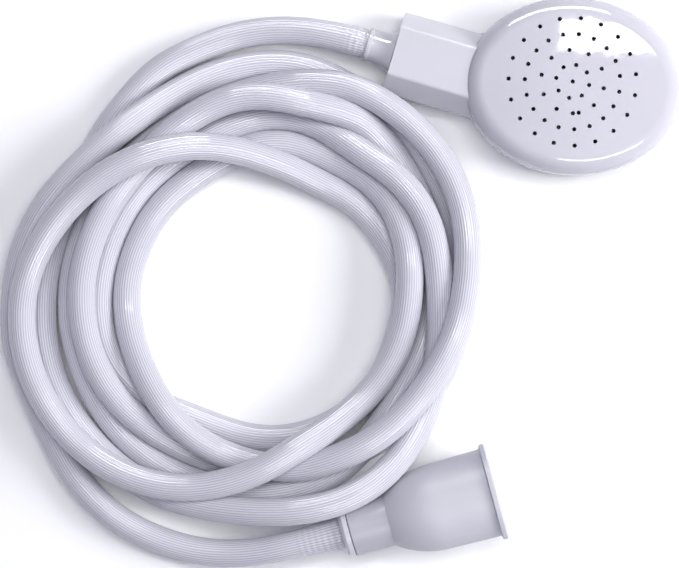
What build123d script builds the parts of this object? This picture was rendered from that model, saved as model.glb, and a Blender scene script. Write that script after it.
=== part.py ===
from build123d import *
from math import cos, hypot, pi, radians, sin, tan
import os

# Handheld bath sprayer: an oval shower head on a square-shouldered neck, a long ribbed
# PVC hose lying in loose turns, and a soft cup that pushes over a tap.
# Millimetres, +Z up, floor at z = 0.  The origin is under the middle of the head's box,
# +X runs from the hose end of the neck to the tip of the oval.

# ---- driving dimensions ---------------------------------------------------------------
head_length = 120.0        # hose end of the swivel collar to the tip of the oval
oval_length = 82.0
oval_width = 67.0
oval_turn = 12.3           # the oval's long axis against the neck's axis, degrees
parting_z = 10.5           # seam between the dish and the spray face
dome_z = 26.0              # crown of the spray face
dome_sag = 3.5             # how far the crown falls over half the oval's length
face_edge_radius = 7.5
base_edge_radius = 5.0
wall = 2.2

neck_y = -6.0              # the neck's axis is a little to one side of the oval's middle
neck_z = parting_z
neck_end_x = -49.4
neck_half_base = 15.75
neck_half_face = 9.4
neck_top_z = 20.5
neck_blend_radius = 4.0
neck_edge_radius = 1.4
end_wall = 9.0             # solid end of the neck that holds the inlet tail
face_gap = 0.03            # between the neck's lip and the spray face

hole_radius = 0.8
pattern_x, pattern_y = 18.1, 0.9
hole_rings = ((6.3, 8), (17.9, 19), (24.0, 19))    # ring radius, holes
hole_phase = 4.0
crowded_ring_radius = 11.9
crowded_ring_places = 10
crowded_place = 8          # this place on the ring has two holes, close together
crowded_half_angle = 5.3

hose_radius = 5.25
hose_bore_radius = 3.6
hose_floor_z = hose_radius + 0.05
arc_share = 0.45           # of the shorter run beside a corner

running_gap = 0.06         # radial clearance of a turning fit
hose_gap = 0.10            # radial clearance between the hose and what turns round it
tail_bore_radius = 2.4
inlet_shaft_radius = 4.0
inlet_flange = (1.95, 3.2) # start and end, past the neck's end
clip_x = 2.8               # clip's middle, inside the neck's end
o_ring_places = (5.3, 7.3) # inside the neck's end
o_ring_wire = 0.55
barb_radius = 3.5
barb_root_radius = 3.05
barb_pitch = 2.3
barb_count = 6

tap_heading = 31.5         # direction of the tap adapter over the floor, degrees
tap_rise = 2.0             # of its axis towards the mouth, degrees
tap_ring_radius = 10.0
tap_ring_length = 3.0
tap_collar_radius = 10.0
tap_collar_start = 3.2
tap_step = 18.3            # end of the collar, where the cup starts
tap_shaft_radius = 5.0
cup_belly_radius = 16.4
cup_neck_radius = 16.9     # just behind the rim
cup_rim_radius = 18.45
cup_belly = 37.3           # distance from the ring's face
cup_rim = 57.8
cup_mouth = 60.3
rim_corner = 1.0
cup_bore_radius = 14.5
cup_bore_length = 17.0

coil_height = 27.0
coil_edge_radius = 6.0
coil_hole_radius = 46.5
coil_middle = (-72.0, -107.7)

os.makedirs("parts", exist_ok=True)


def write(part, name):
    part.label = name
    export_step(part, f"parts/{name}.step")


# ---- the head's frame -----------------------------------------------------------------
turn = radians(oval_turn)
oval_reach_x = hypot(oval_length / 2 * cos(turn), oval_width / 2 * sin(turn))
oval_x = head_length / 2 - oval_reach_x
collar_end = head_length / 2 + neck_end_x       # the collar's length past the neck
oval_spot = Location((oval_x, 0), oval_turn)
dome_radius = ((oval_length / 2) ** 2 + dome_sag ** 2) / (2 * dome_sag)

# Turned pieces at the neck are drawn as (distance past the neck's end, radius).
neck_plane = Plane(origin=(neck_end_x, neck_y, neck_z), x_dir=(-1, 0, 0), z_dir=(0, 1, 0))
neck_axis = Axis((neck_end_x, neck_y, neck_z), (-1, 0, 0))


def oval_cap(inset, top_z, edge_radius):
    """The crowned oval over the parting plane, its walls moved in by inset."""
    with BuildPart() as cap:
        with BuildSketch(Plane.XY.offset(parting_z)):
            with Locations(oval_spot):
                Ellipse(oval_length / 2 - inset, oval_width / 2 - inset)
        extrude(amount=top_z - parting_z)
        with Locations((oval_x, 0, top_z - dome_radius)):
            Sphere(dome_radius, mode=Mode.INTERSECT)
        rim = cap.faces().sort_by(Axis.Z)[-1].edges()
        fillet(rim, edge_radius)
    return cap.part


# ---- spray face: oval cap with its holes ------------------------------------------------
face_inside = oval_cap(wall, dome_z - wall, face_edge_radius - wall)
face_outside = oval_cap(0, dome_z, face_edge_radius)
crowded_step = 360 / crowded_ring_places
with BuildPart() as spray_face:
    add(face_outside)
    add(face_inside, mode=Mode.SUBTRACT)
    with BuildSketch(Plane.XY.offset(dome_z)):
        with Locations((pattern_x, pattern_y)):
            Circle(hole_radius)
            for ring_radius, holes in hole_rings:
                with PolarLocations(ring_radius, holes, start_angle=hole_phase):
                    Circle(hole_radius)
            for place in range(crowded_ring_places):
                angle = hole_phase + place * crowded_step
                halves = (-crowded_half_angle, crowded_half_angle) if place == crowded_place else (0,)
                for half in halves:
                    with PolarLocations(crowded_ring_radius, 1, start_angle=angle + half):
                        Circle(hole_radius)
    extrude(amount=parting_z - dome_z, mode=Mode.SUBTRACT)
write(spray_face.part, "spray_face")

# ---- head body: oval dish and neck, one moulding ---------------------------------------
seal_land = 0.9            # outside the seal, where the cap meets the dish
seal_width = 0.9
seal_height = 1.2
duct_width = 16.0
duct_floor_z, duct_low_top_z, duct_top_z = 3.0, 8.6, 16.5
duct_end_x = oval_x - oval_reach_x - 3.0
dish_inset = 2.4
leg_offset = 3.9           # clip's legs from the neck's axis
left_leg, right_leg = neck_y - leg_offset, neck_y + leg_offset
clip_at = neck_end_x + clip_x
leg_radius = 0.8
clip_slot_depth = 2.3
clip_top_z = parting_z + 3.5
clip_end_room = 0.5
with BuildPart() as head_body:
    with BuildSketch(Plane.XY) as plan:
        with Locations(oval_spot):
            Ellipse(oval_length / 2, oval_width / 2)
        with Locations((neck_end_x / 2, neck_y)):
            Rectangle(-neck_end_x, 2 * neck_half_base)
        inner_corners = [corner for corner in plan.vertices() if neck_end_x + 5 < corner.X < 0]
        fillet(inner_corners, neck_blend_radius)
    extrude(amount=parting_z)
    fillet(head_body.faces().sort_by(Axis.Z)[0].edges(), base_edge_radius)
    with BuildSketch(Plane.YZ.offset(neck_end_x)):
        with BuildLine():
            Polyline((neck_y - neck_half_base, parting_z), (neck_y + neck_half_base, parting_z),
                     (neck_y + neck_half_face, neck_top_z), (neck_y - neck_half_face, neck_top_z),
                     close=True)
        make_face()
    extrude(amount=-neck_end_x)
    add(oval_cap(-face_gap, dome_z + face_gap, face_edge_radius), mode=Mode.SUBTRACT)
    face_edges = head_body.edges().filter_by(Axis.X).filter_by(lambda e: e.center().Z > neck_top_z - 0.1)
    fillet(face_edges, neck_edge_radius)
    with BuildSketch(Plane.XY.offset(wall)):
        with Locations(oval_spot):
            Ellipse(oval_length / 2 - dish_inset, oval_width / 2 - dish_inset)
    extrude(amount=dome_z, mode=Mode.SUBTRACT)
    with BuildSketch(Plane.XY.offset(parting_z - seal_height)):
        with Locations(oval_spot):
            Ellipse(oval_length / 2 - seal_land, oval_width / 2 - seal_land)
    extrude(amount=dome_z, mode=Mode.SUBTRACT)
    duct_start_x = neck_end_x + end_wall
    with BuildSketch(Plane.XZ.offset(-neck_y)):
        with BuildLine():
            Polyline((duct_start_x, duct_floor_z), (oval_x, duct_floor_z), (oval_x, duct_low_top_z),
                     (duct_end_x, duct_low_top_z), (duct_end_x, duct_top_z), (duct_start_x, duct_top_z),
                     close=True)
        make_face()
    extrude(amount=duct_width / 2, both=True, mode=Mode.SUBTRACT)
    with BuildSketch(Plane(origin=neck_plane.origin, z_dir=(1, 0, 0))):
        Circle(inlet_shaft_radius + running_gap)
    extrude(amount=end_wall, mode=Mode.SUBTRACT)
    with BuildSketch(Plane.XY):
        with Locations((clip_at, neck_y)):
            Rectangle(2 * leg_radius, 2 * (leg_offset + leg_radius))
    extrude(amount=clip_slot_depth, mode=Mode.SUBTRACT)
    with BuildSketch(Plane.XY):
        with Locations((clip_at, left_leg), (clip_at, right_leg)):
            Circle(leg_radius)
    extrude(amount=clip_top_z + clip_end_room, mode=Mode.SUBTRACT)
write(head_body.part, "head_body")

# ---- face seal, on the dish's ledge under the cap ---------------------------------------
with BuildPart() as face_seal:
    with BuildSketch(Plane.XY.offset(parting_z - seal_height)):
        with Locations(oval_spot):
            Ellipse(oval_length / 2 - seal_land, oval_width / 2 - seal_land)
            Ellipse(oval_length / 2 - seal_land - seal_width, oval_width / 2 - seal_land - seal_width,
                    mode=Mode.SUBTRACT)
    extrude(amount=seal_height)
write(face_seal.part, "face_seal")


def barbs(start):
    """Outline points (distance, radius) of a barbed stem that begins at start."""
    teeth = []
    for tooth in range(barb_count):
        foot = start + tooth * barb_pitch
        teeth += [(foot, barb_radius), (foot + barb_pitch, barb_root_radius)]
    return teeth


# ---- inlet tail: barbed tube through the neck's end wall --------------------------------
flange_start, flange_end = inlet_flange
inlet_barb_end = flange_end + barb_count * barb_pitch
o_ring_groove = inlet_shaft_radius - 2 * o_ring_wire
groove_half = o_ring_wire + 0.05
clip_groove_radius = leg_offset - leg_radius
with BuildPart() as inlet_tail:
    with BuildSketch(neck_plane):
        with BuildLine():
            Polyline((-end_wall + 0.4, tail_bore_radius), (inlet_barb_end, tail_bore_radius),
                     *reversed(barbs(flange_end)),
                     (flange_end, hose_radius - 0.05), (flange_start, hose_radius - 0.05),
                     (flange_start, inlet_shaft_radius), (-end_wall + 0.4, inlet_shaft_radius),
                     close=True)
        make_face()
    revolve(axis=neck_axis)
    with BuildSketch(neck_plane):
        for place in o_ring_places:
            with Locations((-place, inlet_shaft_radius)):
                Rectangle(2 * groove_half, 2 * (inlet_shaft_radius - o_ring_groove))
        with Locations((-clip_x, inlet_shaft_radius)):
            Rectangle(2 * leg_radius + 0.1, 2 * (inlet_shaft_radius - clip_groove_radius))
    revolve(axis=neck_axis, mode=Mode.SUBTRACT)
write(inlet_tail.part, "inlet_tail")

# ---- two O-rings on the inlet tail --------------------------------------------------------
with BuildPart() as inlet_o_rings:
    with BuildSketch(neck_plane):
        for place in o_ring_places:
            with Locations((-place, inlet_shaft_radius - o_ring_wire + running_gap / 2)):
                Circle(o_ring_wire)
    revolve(axis=neck_axis)
write(inlet_o_rings.part, "inlet_o_rings")

# ---- inlet clip: U of wire pushed up through the neck's underside -----------------------
clip_wire = leg_radius - 0.03
clip_bend_radius = 1.2
with BuildPart() as inlet_clip:
    with BuildLine():
        bend = FilletPolyline((clip_at, left_leg, clip_top_z), (clip_at, left_leg, leg_radius),
                              (clip_at, right_leg, leg_radius), (clip_at, right_leg, clip_top_z),
                              radius=clip_bend_radius)
    with BuildSketch(Plane(origin=bend @ 0, z_dir=bend % 0)):
        Circle(clip_wire)
    sweep()
write(inlet_clip.part, "inlet_clip")

# ---- swivel collar: trumpet ring that turns on the inlet tail ---------------------------
collar_lip_end = 1.8
collar_gap = 0.2           # to the neck's end
collar_flare_radius = 8.2
collar_small_radius = 6.15
with BuildPart() as swivel_collar:
    with BuildSketch(neck_plane):
        with BuildLine():
            flare = ThreePointArc((collar_gap, collar_flare_radius), (3.4, 6.85),
                                  (collar_end - 1.6, collar_small_radius))
            Polyline(flare @ 1, (collar_end - 1.2, collar_small_radius + 0.25),
                     (collar_end - 0.2, collar_small_radius + 0.25), (collar_end, collar_small_radius + 0.05),
                     (collar_end, hose_radius + hose_gap), (collar_lip_end, hose_radius + hose_gap),
                     (collar_lip_end, inlet_shaft_radius + running_gap),
                     (collar_gap, inlet_shaft_radius + running_gap), flare @ 0)
        make_face()
    revolve(axis=neck_axis)
write(swivel_collar.part, "swivel_collar")

# ---- the tap adapter's frame ----------------------------------------------------------------
# It lies on its rim, held almost level by the hose, so the axis rises a little towards the
# mouth.  Turned pieces are drawn as (distance from the ring's hose-side face, radius).
heading = radians(tap_heading)
tap_tilt = radians(tap_rise)
tap_ring_z = cup_rim_radius * cos(tap_tilt) - (cup_rim + rim_corner / 2) * sin(tap_tilt) + 0.05
tap_face = (-17.1, -186.2, tap_ring_z)
tap_direction = Vector(cos(tap_tilt) * cos(heading), cos(tap_tilt) * sin(heading), sin(tap_tilt))
tap_plane = Plane(origin=tap_face, x_dir=tap_direction, z_dir=(sin(heading), -cos(heading), 0))
tap_axis = Axis(tap_face, tap_direction)

# ---- tap tail: barbed stem, thin ring and shaft -----------------------------------------
tap_shaft_end = 17.0
tap_o_ring_place = 8.0
tap_clip_start, tap_clip_end = 15.2, 16.2
tap_clip_groove_radius = 4.2
ring_corner = 1.2
with BuildPart() as tap_tail:
    with BuildSketch(tap_plane):
        with BuildLine():
            Polyline((-barb_count * barb_pitch, tail_bore_radius), (tap_shaft_end, tail_bore_radius),
                     (tap_shaft_end, tap_shaft_radius), (tap_ring_length, tap_shaft_radius),
                     (tap_ring_length, tap_ring_radius), (ring_corner, tap_ring_radius),
                     (0, tap_ring_radius - ring_corner),
                     *[(-distance, radius) for distance, radius in barbs(0)], close=True)
        make_face()
    revolve(axis=tap_axis)
    with BuildSketch(tap_plane):
        with Locations((tap_o_ring_place, tap_shaft_radius)):
            Rectangle(2 * groove_half, 4 * o_ring_wire)
        with Locations(((tap_clip_start + tap_clip_end) / 2, tap_shaft_radius)):
            Rectangle(tap_clip_end - tap_clip_start, 2 * (tap_shaft_radius - tap_clip_groove_radius))
    revolve(axis=tap_axis, mode=Mode.SUBTRACT)
write(tap_tail.part, "tap_tail")

# ---- O-ring on the tap tail -----------------------------------------------------------------
with BuildPart() as tap_o_ring:
    with BuildSketch(tap_plane):
        with Locations((tap_o_ring_place, tap_shaft_radius - o_ring_wire + running_gap / 2)):
            Circle(o_ring_wire)
    revolve(axis=tap_axis)
write(tap_o_ring.part, "tap_o_ring")

# ---- clip that keeps the tap collar on its tail: an open ring in the shaft's groove -----
tap_clip_radius = 6.8
tap_clip_middle = (tap_clip_start + tap_clip_end) / 2
with BuildPart() as tap_clip:
    with BuildSketch(tap_plane):
        with Locations((tap_clip_middle, (tap_clip_groove_radius + tap_clip_radius) / 2)):
            Rectangle(tap_clip_end - tap_clip_start - 0.1, tap_clip_radius - tap_clip_groove_radius - 0.05)
    revolve(axis=tap_axis, revolution_arc=290)
write(tap_clip.part, "tap_clip")

# ---- tap collar: cylinder with the spigot that holds the cup ----------------------------
counterbore_start = 14.8
counterbore_radius = 7.2
cup_floor_end = 21.5
spigot_radius = 8.2
spigot_flange_radius = 9.6
spigot_flange_end = 22.8
with BuildPart() as tap_collar:
    with BuildSketch(tap_plane):
        with BuildLine():
            Polyline((tap_collar_start, tap_shaft_radius + running_gap),
                     (tap_collar_start, tap_collar_radius - 0.3), (tap_collar_start + 0.3, tap_collar_radius),
                     (tap_step, tap_collar_radius), (tap_step, spigot_radius),
                     (cup_floor_end, spigot_radius), (cup_floor_end, spigot_flange_radius),
                     (spigot_flange_end - 0.4, spigot_flange_radius),
                     (spigot_flange_end, spigot_flange_radius - 0.4), (spigot_flange_end, counterbore_radius),
                     (counterbore_start, counterbore_radius),
                     (counterbore_start, tap_shaft_radius + running_gap), close=True)
        make_face()
    revolve(axis=tap_axis)
write(tap_collar.part, "tap_collar")

# ---- tap cup: soft bell with a rim ----------------------------------------------------------
cup_hole_radius = spigot_radius + 0.05
cup_bore_start = cup_mouth - cup_bore_length
mouth_chamfer = 0.8
with BuildPart() as tap_cup:
    with BuildSketch(tap_plane):
        with BuildLine():
            shoulder = ThreePointArc((tap_step, tap_collar_radius + 0.1), (25.7, 14.2),
                                     (cup_belly, cup_belly_radius))
            Polyline(shoulder @ 1, (cup_rim, cup_neck_radius), (cup_rim, cup_rim_radius - rim_corner),
                     (cup_rim + rim_corner / 2, cup_rim_radius), (cup_mouth - rim_corner / 2, cup_rim_radius),
                     (cup_mouth, cup_rim_radius - rim_corner), (cup_mouth, cup_bore_radius + mouth_chamfer),
                     (cup_mouth - mouth_chamfer, cup_bore_radius), (cup_bore_start, cup_bore_radius),
                     (33.0, 13.7), (26.0, 12.2), (cup_floor_end, 10.5),
                     (cup_floor_end, cup_hole_radius), (tap_step, cup_hole_radius), shoulder @ 0)
        make_face()
    revolve(axis=tap_axis)
write(tap_cup.part, "tap_cup")

# ---- cup washer: seals against the end of the tap -----------------------------------------
washer_end = 24.6
washer_middle_radius = 7.6
washer_width = 4.4
with BuildPart() as cup_washer:
    with BuildSketch(tap_plane):
        with Locations(((spigot_flange_end + washer_end) / 2, washer_middle_radius)):
            Rectangle(washer_end - spigot_flange_end, washer_width)
    revolve(axis=tap_axis)
write(cup_washer.part, "cup_washer")


# ---- hose: two free stretches and the coil between them ---------------------------------
def hose_tube(name, points):
    """A tube along straight runs joined by arcs; prints its radii and compares its volume."""
    corners = [Vector(*point) for point in points]
    radii = []
    for before, corner, after in zip(corners, corners[1:], corners[2:]):
        arriving, leaving = corner - before, after - corner
        half_turn = radians(arriving.get_angle(leaving)) / 2
        radii.append(arc_share * min(arriving.length, leaving.length) / tan(half_turn))
    with BuildPart() as tube:
        with BuildLine():
            route = FilletPolyline(*points, radius=radii)
        with BuildSketch(Plane(origin=route @ 0, z_dir=route % 0)):
            Circle(hose_radius)
            Circle(hose_bore_radius, mode=Mode.SUBTRACT)
        sweep()
    section = pi * (hose_radius ** 2 - hose_bore_radius ** 2)
    ratio = tube.part.volume / (section * route.length)
    print(f"{name}: length {route.length:.1f}, volume / (section x length) {ratio:.4f}")
    print(f"{name}: radii", *[f"{radius:.0f}" for radius in radii])
    write(tube.part, name)


head_lead_points = (
    (neck_end_x - flange_end, neck_y, neck_z),
    (-71.0, neck_y, neck_z),
    (-90.0, -8.5, 7.5),
    (-107.0, -15.0, hose_floor_z),
    (-122.0, -25.5, hose_floor_z),
    (-135.0, -38.0, hose_floor_z),
)
tap_run = 18.0             # straight stretch before the tap adapter
tap_lead_points = (
    (-127.0, -190.5, hose_floor_z),
    (-114.5, -200.0, hose_floor_z),
    (-100.0, -207.0, hose_floor_z),
    (-83.0, -210.0, hose_floor_z),
    (-65.5, -209.5, 6.4),
    (-48.5, -204.5, 10.4),
    tuple(Vector(*tap_face) - tap_direction * tap_run),
    tap_face,
)
hose_tube("hose_head_lead", head_lead_points)
hose_tube("hose_tap_lead", tap_lead_points)


def end_wall_of(point, towards):
    """Ends of the coil's short flat wall where a lead's tube meets it face to face."""
    middle = Vector(*point[:2])
    along = (Vector(*towards[:2]) - middle).normalized()
    across = Vector(-along.Y, along.X) * (hose_radius + 1.3)
    return middle - across, middle + across


# The coil's closed solid has the outer shape of the loose turns, and their open middle.
head_wall = end_wall_of(head_lead_points[-1], head_lead_points[-2])
tap_wall = end_wall_of(tap_lead_points[0], tap_lead_points[1])
coil_left = ((-150.5, -52.0), (-158.0, -78.0), (-168.0, -108.0), (-165.5, -140.0), (-150.0, -174.0))
coil_right = ((-96.0, -193.0), (-66.0, -196.5), (-38.0, -188.0), (-16.0, -168.0), (1.0, -143.0),
              (7.0, -108.0), (-2.0, -62.0), (-30.0, -29.5), (-70.0, -21.0), (-108.0, -25.5))
with BuildPart() as hose_coil:
    with BuildSketch(Plane.XY):
        with BuildLine():
            Spline(head_wall[1], *coil_left, tap_wall[0])
            Line(tap_wall[0], tap_wall[1])
            Spline(tap_wall[1], *coil_right, head_wall[0])
            Line(head_wall[0], head_wall[1])
        make_face()
        with Locations(coil_middle):
            Circle(coil_hole_radius, mode=Mode.SUBTRACT)
    extrude(amount=coil_height)
    fillet(hose_coil.faces().sort_by(Axis.Z)[-1].edges(), coil_edge_radius)
write(hose_coil.part, "hose_coil")
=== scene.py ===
from math import cos, pi, radians, sin

import bpy
import numpy as np
from mathutils import Matrix, Vector


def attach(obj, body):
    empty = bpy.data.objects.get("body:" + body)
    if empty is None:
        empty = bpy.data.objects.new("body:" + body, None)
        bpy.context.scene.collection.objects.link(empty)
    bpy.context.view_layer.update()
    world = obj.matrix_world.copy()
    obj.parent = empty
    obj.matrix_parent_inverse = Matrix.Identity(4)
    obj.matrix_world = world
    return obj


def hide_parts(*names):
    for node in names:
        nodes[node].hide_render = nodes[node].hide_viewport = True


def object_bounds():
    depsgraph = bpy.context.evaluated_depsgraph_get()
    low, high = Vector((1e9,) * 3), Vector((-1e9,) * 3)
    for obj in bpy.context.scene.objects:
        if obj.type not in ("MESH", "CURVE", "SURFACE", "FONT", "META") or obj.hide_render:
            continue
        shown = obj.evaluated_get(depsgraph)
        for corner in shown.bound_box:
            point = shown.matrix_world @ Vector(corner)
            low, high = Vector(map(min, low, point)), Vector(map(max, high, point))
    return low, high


# Handheld bath sprayer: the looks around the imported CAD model.  Metres, in the CAD's frame.
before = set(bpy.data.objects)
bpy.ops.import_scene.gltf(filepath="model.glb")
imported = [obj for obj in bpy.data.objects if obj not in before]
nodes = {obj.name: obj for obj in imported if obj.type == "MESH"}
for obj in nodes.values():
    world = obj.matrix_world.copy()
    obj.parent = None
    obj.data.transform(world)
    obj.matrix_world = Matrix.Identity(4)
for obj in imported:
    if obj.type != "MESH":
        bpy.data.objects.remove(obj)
cad_low, cad_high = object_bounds()
MM = 0.001

# ---- camera ---------------------------------------------------------------------------
camera_height = 1.1
view_width = 0.2606        # what the picture's width covers at the floor
camera_roll = 16.3         # degrees, so that the neck slopes down to the right
camera_shift = Vector((9.9, -5.9, 0)) * MM      # from the middle of the CAD box


def make_camera():
    """Looks straight down on the object."""
    data = bpy.data.cameras.new("camera")
    data.sensor_width = 36
    data.lens = data.sensor_width * camera_height / view_width
    data.clip_start, data.clip_end = 0.01, 20
    camera = bpy.data.objects.new("camera", data)
    middle = (cad_low + cad_high) / 2 + camera_shift
    camera.location = (middle.x, middle.y, camera_height)
    camera.rotation_euler = (0, 0, radians(camera_roll))
    bpy.context.scene.collection.objects.link(camera)
    bpy.context.scene.camera = camera


# ---- the hose's route, millimetres ------------------------------------------------------
hose_diameter = 10.5
hose_floor_z = 5.3
head_lead_points = (
    (-52.6, -6.0, 10.5),
    (-71.0, -6.0, 10.5),
    (-90.0, -8.5, 7.5),
    (-107.0, -15.0, 5.3),
    (-122.0, -25.5, 5.3),
    (-135.0, -38.0, 5.3),
)
tap_face = (-17.1, -186.2, 16.45)
tap_lead_points = (
    (-127.0, -190.5, 5.3),
    (-114.5, -200.0, 5.3),
    (-100.0, -207.0, 5.3),
    (-83.0, -210.0, 5.3),
    (-65.5, -209.5, 6.4),
    (-48.5, -204.5, 10.4),
    (-32.4, -195.6, 15.8),
    tap_face,
)

# Between the two leads the hose lies in loose turns, as thrown down by hand.  A row is one
# turn, with a pair for each station round the coil's middle: how far out it lies, and how
# many layers up it starts, before it settles.
coil_middle = np.array((-72.0, -107.7))
first_direction = 16.3     # of station 0, degrees
stations = 12
first_station = 4          # of the first turn
ring_station, ring_spread = 9.6, 0.7            # where the first turn passes over the tap tail's ring
ring_rest_z = 26.5
steps_between = 4          # from one station to the next
coil_turns = (
    ((91.0, 0), (80.6, 0), (83.5, 0), (87.0, 0), (84.2, .6), (82.6, 1.8), (84.0, 2), (74.5, 1.6)),
    ((67.5, 1), (68.0, 1), (67.5, .9), (66.5, .5), (58.5, .9), (61.8, 0),
     (62.3, 0), (63.5, 0), (54.5, 0), (56.3, 0), (57.0, 0), (56.3, 0)),
    ((55.3, 0), (52.0, 0), (48.5, 0), (51.5, .9), (63.0, 1.8), (76.7, 1.7),
     (90.8, .9), (91.8, 1), (83.8, .9), (67.0, 1.9), (57.0, 1), (56.0, 1)),
    ((55.8, 1), (58.5, .6), (58.0, 0), (57.3, 0), (53.6, 0), (51.6, 0),
     (51.8, 0), (53.6, .3), (60.0, .9), (65.5, .9), (69.8, 1.8), (71.5, 1.8)),
    ((76.5, 1), (84.3, 1), (84.3, 1), (76.5, 0), (71.0, 0), (71.2, 0),
     (73.0, 0), (74.5, 0), (77.0, 0), (76.0, .3), (70.0, .9), (65.5, .3)),
    ((66.5, 0), (70.5, 0), (73.5, 0), (75.8, 1), (69.3, 1), (67.0, .9),
     (68.5, .9), (68.5, .9), (67.5, 0), (67.5, 0), (71.5, 0), (73.5, 0)),
    ((76.0, 0), (79.5, 0), (82.3, 0), (86.8, 0), (81.5, .3), (84.3, 1), (94.0, 0), (98.5, 0)),
)


# Settling: in each round the turns sink a little and push each other apart where they overlap.
settle_rounds = 600
first_sink = 0.25          # in the first round, and less in each later one
height_stiffness, reach_stiffness = 0.12, 0.03
pull_back = 0.03           # share of the way back to the wanted reach, in a round
push_share = 0.5           # of an overlap, for each of the two turns
sideways_give = 0.6        # how much of a push moves a turn sideways


def between_stations(values):
    """A smooth curve through the stations' values, at every step."""
    ends = np.concatenate(((2 * values[0] - values[1],), values, (2 * values[-1] - values[-2],)))
    at = np.arange(0, len(values) - 1 + 1e-9, 1 / steps_between)
    station = np.minimum(at.astype(int), len(values) - 2)
    t = at - station
    before, start, end, after = (ends[station + k] for k in range(4))
    cubic = (after - before) / 2 + 1.5 * (start - end)
    square = before - 2.5 * start + 2 * end - after / 2
    return start + t * ((end - before) / 2 + t * (square + t * cubic))


def stiffen(values, stiffness):
    """Takes sharp changes out of values, in place, as the hose's own stiffness does."""
    bend = np.zeros_like(values)
    bend[1:-1] = values[2:] - 2 * values[1:-1] + values[:-2]
    change = np.zeros_like(values)
    change[2:-2] = bend[3:-1] - 2 * bend[2:-2] + bend[1:-3]
    values -= stiffness * change


def settled_coil():
    """The turns' points, sunk on to the floor and on to each other without overlaps."""
    table = np.array([pair for turn in coil_turns for pair in turn], float)
    wanted = between_stations(table[:, 0])
    reach = wanted.copy()
    height = hose_floor_z + hose_diameter * np.maximum(between_stations(table[:, 1]), 0)
    steps_per_turn = stations * steps_between
    step = np.arange(len(reach)) + first_station * steps_between
    past_ring = (step / steps_between - ring_station) / ring_spread
    rest_z = hose_floor_z + (ring_rest_z - hose_floor_z) * np.exp(-past_ring ** 4)
    pairs = [np.arange(len(reach) - k * steps_per_turn) for k in range(1, len(coil_turns))]
    for done in range(settle_rounds):
        height -= first_sink * (1 - done / settle_rounds)
        stiffen(height, height_stiffness)
        stiffen(reach, reach_stiffness)
        reach += pull_back * (wanted - reach)
        for turns_apart, low in enumerate(pairs, 1):
            high = low + turns_apart * steps_per_turn
            out, up = reach[high] - reach[low], height[high] - height[low]
            distance = np.hypot(out, up) + 1e-9
            push = push_share * np.maximum(hose_diameter - distance, 0) / distance
            reach[low] -= sideways_give * push * out
            reach[high] += sideways_give * push * out
            height[low] -= push * up
            height[high] += push * up
        np.maximum(height, rest_z, out=height)
    angle = np.radians(first_direction + step * 360 / steps_per_turn)
    x = coil_middle[0] + reach * np.cos(angle)
    y = coil_middle[1] + reach * np.sin(angle)
    return np.column_stack((x, y, height))[1:-2]


def route_line(points):
    """Points close together along the smooth NURBS curve that the route's points control."""
    data = bpy.data.curves.new("hose_route", "CURVE")
    data.dimensions = "3D"
    data.resolution_u = 10
    spline = data.splines.new("NURBS")
    spline.points.add(len(points) - 1)
    for control, point in zip(spline.points, points):
        control.co = (*point, 1)
    spline.order_u = 3
    spline.use_endpoint_u = True
    curve = bpy.data.objects.new("hose_route", data)
    bpy.context.scene.collection.objects.link(curve)
    bpy.context.view_layer.update()
    mesh = bpy.data.meshes.new_from_object(curve)
    line = np.array([vertex.co for vertex in mesh.vertices])
    bpy.data.objects.remove(curve)
    bpy.data.meshes.remove(mesh)
    return line


# ---- the hose -----------------------------------------------------------------------------
ribs = 34
rib_depth = 0.24 * MM
hose_radius = hose_diameter / 2 * MM
coarse_step, fine_step = 3.5 * MM, 0.6 * MM
head_fine, tap_fine = 24 * MM, 40 * MM          # stretches at the ends with fine steps
barb_pitch = 2.3 * MM
head_barbs = (8 * MM, 18 * MM)                  # bulges over the tail's barbs: start and end
tap_barbs = (1 * MM, 19 * MM)
barb_bulge = 0.192 * MM
tail_swell = 0.25 * MM                          # where the head's tail stretches the hose
swell_grows, swell_fades = (7.5 * MM, 11 * MM), (14 * MM, 26 * MM)
tap_flare, tap_flare_length = 0.95 * MM, 17 * MM


def smooth_share(value, start, end):
    """0 before start, 1 after end, and smooth between."""
    t = np.clip((value - start) / (end - start), 0, 1)
    return t * t * (3 - 2 * t)


def bulges(distance, start, end):
    """The hose's swelling over a barbed tail, at these distances from the hose's end."""
    fade = 2 * MM
    here = smooth_share(distance, start - fade, start) * (1 - smooth_share(distance, end - 2 * fade, end))
    return here * barb_bulge * (1 + np.cos(2 * pi * distance / barb_pitch)) / 2


def hose_rings(line):
    """Places along the line for the hose's rings, with each ring's axes and radius."""
    gone = np.concatenate(((0,), np.cumsum(np.linalg.norm(np.diff(line, axis=0), axis=1))))
    length = gone[-1]
    middle = length - head_fine - tap_fine
    at = np.concatenate((
        np.linspace(0, head_fine, round(head_fine / fine_step), endpoint=False),
        np.linspace(head_fine, length - tap_fine, round(middle / coarse_step), endpoint=False),
        np.linspace(length - tap_fine, length, round(tap_fine / fine_step)),
    ))
    centre = np.column_stack([np.interp(at, gone, line[:, axis]) for axis in range(3)])
    along = np.gradient(centre, at, axis=0)
    along /= np.linalg.norm(along, axis=1)[:, None]
    side = np.zeros_like(centre)
    side[0] = np.cross(along[0], (0, 0, 1))
    for i in range(1, len(centre)):
        carried = side[i - 1] - along[i] * (side[i - 1] @ along[i])
        side[i] = carried / np.linalg.norm(carried)
    radius = hose_radius + bulges(at, *head_barbs) + bulges(length - at, *tap_barbs)
    radius += tail_swell * (smooth_share(at, *swell_grows) - smooth_share(at, *swell_fades))
    radius += tap_flare * (1 - smooth_share(length - at, 0, tap_flare_length))
    return centre, side, np.cross(along, side), radius


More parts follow.
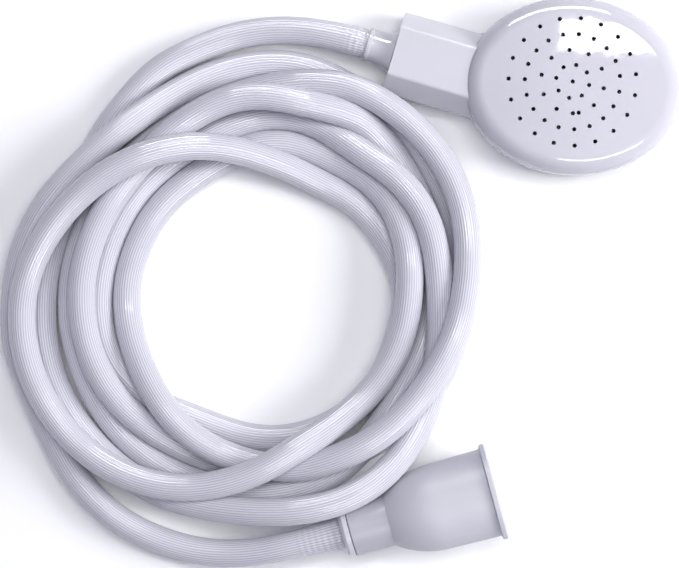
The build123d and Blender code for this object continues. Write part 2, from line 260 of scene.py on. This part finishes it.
def ribbed_tube(line):
    """One closed mesh along the line, with every third point round it down in a groove."""
    centre, side, up, radius = hose_rings(line)
    around = 3 * ribs
    angle = np.arange(around) * 2 * pi / around
    depth = np.where(np.arange(around) % 3 == 0, rib_depth, 0)
    out = radius[:, None] - depth
    spots = (centre[:, None]
             + side[:, None] * (out * np.cos(angle))[..., None]
             + up[:, None] * (out * np.sin(angle))[..., None])
    rings = len(centre)
    ring, place = np.meshgrid(np.arange(rings - 1), np.arange(around), indexing="ij")
    first, after = ring * around, (place + 1) % around
    quads = np.stack((first + place, first + after, first + around + after, first + around + place), -1)
    caps = [list(range(around))[::-1], list(range((rings - 1) * around, rings * around))]
    mesh = bpy.data.meshes.new("hose")
    mesh.from_pydata(spots.reshape(-1, 3).tolist(), [], quads.reshape(-1, 4).tolist() + caps)
    mesh.shade_smooth()
    # Marks the points on the ribs' crests; the hose material paints shade on the other points, down in
    # the grooves.
    crest = mesh.attributes.new("crest", "FLOAT", "POINT")
    crest.data.foreach_set("value", np.tile(depth == 0, rings).astype(np.float32))
    return mesh


def make_hose():
    """The whole hose, in place of its three CAD solids."""
    points = np.concatenate((head_lead_points, settled_coil(), tap_lead_points)) * MM
    line = route_line(points)
    hose = bpy.data.objects.new("hose", ribbed_tube(line))
    bpy.context.scene.collection.objects.link(hose)
    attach(hose, "head_and_hose")
    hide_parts("hose_head_lead", "hose_coil", "hose_tap_lead")
    return hose


# ---- materials ------------------------------------------------------------------------------
def shader(name, colour, roughness):
    """A material with its Principled shader, and what adds and joins its nodes."""
    material = bpy.data.materials.new(name)
    material.use_nodes = True
    tree = material.node_tree
    principled = tree.nodes["Principled BSDF"]
    principled.inputs["Base Color"].default_value = (*colour, 1)
    principled.inputs["Roughness"].default_value = roughness
    return material, tree, principled


def noise(tree, scale, detail=3):
    """Noise over the object's own coordinates, per metre."""
    place = tree.nodes.new("ShaderNodeTexCoord")
    texture = tree.nodes.new("ShaderNodeTexNoise")
    texture.inputs["Scale"].default_value = scale
    texture.inputs["Detail"].default_value = detail
    tree.links.new(place.outputs["Object"], texture.inputs["Vector"])
    return texture.outputs["Fac"]


def spread(tree, value, low, high):
    """Noise between about 0.35 and 0.65 spread from low to high."""
    reach = tree.nodes.new("ShaderNodeMapRange")
    reach.inputs["From Min"].default_value = 0.35
    reach.inputs["From Max"].default_value = 0.65
    reach.inputs["To Min"].default_value = low
    reach.inputs["To Max"].default_value = high
    tree.links.new(value, reach.inputs["Value"])
    return reach.outputs["Result"]


def tint(tree, share, colour, other):
    """Colour that goes from colour to other as share goes from 0 to 1."""
    mix = tree.nodes.new("ShaderNodeMix")
    mix.data_type = "RGBA"
    mix.inputs["A"].default_value = (*colour, 1)
    mix.inputs["B"].default_value = (*other, 1)
    tree.links.new(share, mix.inputs["Factor"])
    return mix.outputs["Result"]


def bump(tree, principled, height, depth):
    """Adds relief of this depth, in metres."""
    relief = tree.nodes.new("ShaderNodeBump")
    relief.inputs["Strength"].default_value = 1
    relief.inputs["Distance"].default_value = depth
    tree.links.new(height, relief.inputs["Height"])
    tree.links.new(relief.outputs["Normal"], principled.inputs["Normal"])


mark_depth = 0.05          # how much darker the flow marks are
gloss_spread = 0.15        # how far they move the roughness, up and down


def moulded(name, colour, roughness, grain, grain_depth, flow=25, metallic=0):
    """Faint flow marks in colour and gloss, over a fine grain or a slow waviness.

    grain and flow are the noise's scales, per metre: 45 is a waviness, 2500 a grain.
    """
    material, tree, principled = shader(name, colour, roughness)
    marks = noise(tree, flow)
    darker = [(1 - mark_depth) * c for c in colour]
    tree.links.new(tint(tree, spread(tree, marks, 0, 1), darker, colour), principled.inputs["Base Color"])
    smoother, rougher = (1 - gloss_spread) * roughness, (1 + gloss_spread) * roughness
    tree.links.new(spread(tree, marks, smoother, rougher), principled.inputs["Roughness"])
    principled.inputs["Metallic"].default_value = metallic
    bump(tree, principled, noise(tree, grain), grain_depth)
    return material


def make_materials():
    """One material for each slot of the record, and the spray face's own, glossier plastic."""
    return {
        "face_plastic": moulded("face_plastic", (0.59, 0.58, 0.64), 0.06, 45, 0.2 * MM),
        "head_plastic": moulded("head_plastic", (0.63, 0.62, 0.675), 0.12, 60, 0.05 * MM),
        "tail_plastic": moulded("tail_plastic", (0.60, 0.592, 0.655), 0.3, 2500, 0.004 * MM),
        # The tap collar's plastic is much darker than the other parts: painted shade for the hose turn
        # that lies over it.
        "adapter_plastic": moulded("adapter_plastic", (0.45, 0.445, 0.50), 0.4, 3000, 0.01 * MM),
        "cup_pvc": moulded("cup_pvc", (0.57, 0.565, 0.62), 0.5, 2200, 0.02 * MM, flow=45),
        "seal_rubber": moulded("seal_rubber", (0.035, 0.035, 0.038), 0.55, 3000, 0.01 * MM),
        "clip_steel": moulded("clip_steel", (0.62, 0.62, 0.63), 0.22, 4000, 0.002 * MM, metallic=1),
        "hose_pvc": make_hose_pvc(),
    }


def make_hose_pvc():
    """Glossy soft PVC with painted shade down between its ribs, and faint clouds in colour and gloss."""
    colour, groove_painted_shade = (0.69, 0.683, 0.745), (0.42, 0.415, 0.49)
    material, tree, principled = shader("hose_pvc", colour, 0.1)
    rib = tree.nodes.new("ShaderNodeAttribute")
    rib.attribute_name = "crest"
    marks = spread(tree, noise(tree, 18), 0, 1)
    crest = tint(tree, marks, [0.96 * c for c in colour], colour)
    mix = tree.nodes.new("ShaderNodeMix")
    mix.data_type = "RGBA"
    # The grooves get a much darker colour than the crests: painted shade in the creases between the ribs.
    mix.inputs["A"].default_value = (*groove_painted_shade, 1)
    tree.links.new(crest, mix.inputs["B"])
    tree.links.new(rib.outputs["Fac"], mix.inputs["Factor"])
    tree.links.new(mix.outputs["Result"], principled.inputs["Base Color"])
    tree.links.new(spread(tree, noise(tree, 30), 0.08, 0.13), principled.inputs["Roughness"])
    bump(tree, principled, noise(tree, 900), 0.006 * MM)
    principled.inputs["Coat Weight"].default_value = 0.3
    principled.inputs["Coat Roughness"].default_value = 0.06
    return material


material_nodes = {
    "face_plastic": ("spray_face",),
    "head_plastic": ("head_body", "swivel_collar"),
    "tail_plastic": ("inlet_tail", "tap_tail"),
    "adapter_plastic": ("tap_collar",),
    "cup_pvc": ("tap_cup",),
    "seal_rubber": ("face_seal", "inlet_o_rings", "tap_o_ring", "cup_washer"),
    "clip_steel": ("inlet_clip", "tap_clip"),
}


def give_materials(hose):
    """Gives the hose and every CAD node that shows its material."""
    materials = make_materials()
    hose.data.materials.append(materials["hose_pvc"])
    for material_name, names in material_nodes.items():
        for name in names:
            nodes[name].data.materials.clear()
            nodes[name].data.materials.append(materials[material_name])


# ---- floor and lights -------------------------------------------------------------------------
floor_size = 8
floor_gap = 0.05 * MM      # under the object


def make_floor():
    """A wide pale floor just under the object."""
    bpy.ops.mesh.primitive_plane_add(size=floor_size, location=(0, 0, -floor_gap))
    floor = bpy.context.object
    floor.name = "floor"
    material, tree, principled = shader("floor", (0.93, 0.93, 0.93), 0.7)
    tree.links.new(tint(tree, spread(tree, noise(tree, 3), 0, 1), (0.92, 0.92, 0.93), (0.94, 0.94, 0.94)),
                   principled.inputs["Base Color"])
    principled.inputs["Specular IOR Level"].default_value = 0.1
    floor.data.materials.append(material)


def softbox(name, across, down, height, width, depth, power, shade=True, shine=True):
    """A light that faces the object.

    across and down are where it hangs from the object's middle, to the picture's right and
    bottom.  shade and shine say whether it lights surfaces and whether its reflection shows.
    """
    data = bpy.data.lights.new(name, "AREA")
    data.shape = "RECTANGLE"
    data.size, data.size_y = width, depth
    data.energy = power
    light = bpy.data.objects.new(name, data)
    roll = radians(camera_roll)
    across_axis = Vector((cos(roll), sin(roll), 0))
    down_axis = Vector((sin(roll), -cos(roll), 0))
    middle = (cad_low + cad_high) / 2
    middle.z = 0
    light.location = middle + across_axis * across + down_axis * down + Vector((0, 0, height))
    back = (light.location - middle).normalized()
    right = (across_axis - back * (across_axis @ back)).normalized()
    facing = Matrix((right, back.cross(right), back)).transposed().to_4x4()
    light.matrix_world = Matrix.Translation(light.location) @ facing
    light.visible_diffuse = shade
    light.visible_glossy = shine
    bpy.context.scene.collection.objects.link(light)


def make_lights():
    """Soft studio light, with the boxes whose reflections show set apart from the soft key."""
    softbox("key", 1.3, -0.05, 0.85, 0.8, 0.7, 21, shine=False)
    softbox("overhead", 0, -0.2, 1.6, 1.0, 0.8, 11, shine=False)
    softbox("high_box", 0.42, -0.46, 1.6, 0.6, 0.18, 4.2)
    softbox("rim_strip", 0.5, 0.75, 1.2, 1.0, 0.24, 9, shade=False)
    softbox("top_strip", 0.0, -1.4, 0.9, 1.4, 0.4, 28, shade=False)
    world = bpy.data.worlds.new("world")
    world.use_nodes = True
    background = world.node_tree.nodes["Background"]
    background.inputs["Color"].default_value = (0.76, 0.76, 1.0, 1)
    background.inputs["Strength"].default_value = 0.28
    bpy.context.scene.world = world
    bpy.context.scene.view_settings.view_transform = "Standard"


make_camera()
give_materials(make_hose())
make_floor()
make_lights()
